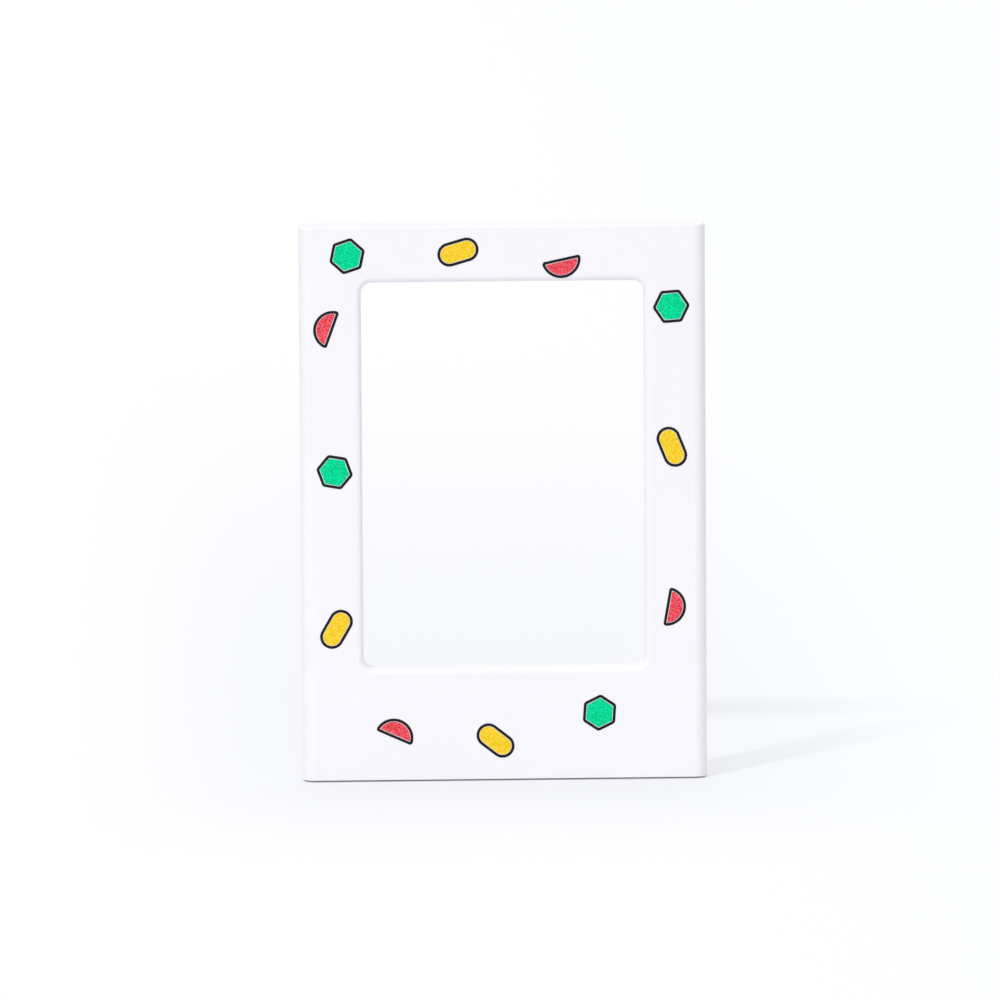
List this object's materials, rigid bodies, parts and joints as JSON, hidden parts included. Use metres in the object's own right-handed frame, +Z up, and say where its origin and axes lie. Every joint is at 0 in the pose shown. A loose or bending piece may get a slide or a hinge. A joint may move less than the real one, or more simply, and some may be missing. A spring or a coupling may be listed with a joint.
{
  "type": "magnetic photo frame",
  "caption": "Upright two-part moulded photo frame for one instant film, with an open window, rounded upright edges and magnets in its side rails that hold the front half on.",
  "frame": {"origin": "centre of the foot, on the plane where the front and rear halves meet", "axes": "+Z up, +X to the right of someone facing the printed front, +Y from the front to the back"},
  "size_m": [0.066, 0.008, 0.091],
  "materials": {
    "white_plastic": "moulded white ABS, satin",
    "nickel_plate": "bright nickel plating over sintered magnet",
    "print_red": "coral red printing ink",
    "print_yellow": "warm yellow printing ink",
    "print_green": "mint green printing ink",
    "print_black": "black printing ink"
  },
  "bodies": {
    "rear_half": {"rear_frame": "white_plastic", "rear_magnet_lower_left": "nickel_plate", "rear_magnet_lower_right": "nickel_plate", "rear_magnet_upper_left": "nickel_plate", "rear_magnet_upper_right": "nickel_plate"},
    "front_half": {"front_frame": "white_plastic", "front_magnet_lower_left": "nickel_plate", "front_magnet_lower_right": "nickel_plate", "front_magnet_upper_left": "nickel_plate", "front_magnet_upper_right": "nickel_plate"}
  },
  "joints": [
    {"name": "front_pull_off", "type": "slide", "parent": "rear_half", "child": "front_half", "axis": [0, -1, 0], "range_m": [0, 0.04]}
  ]
}
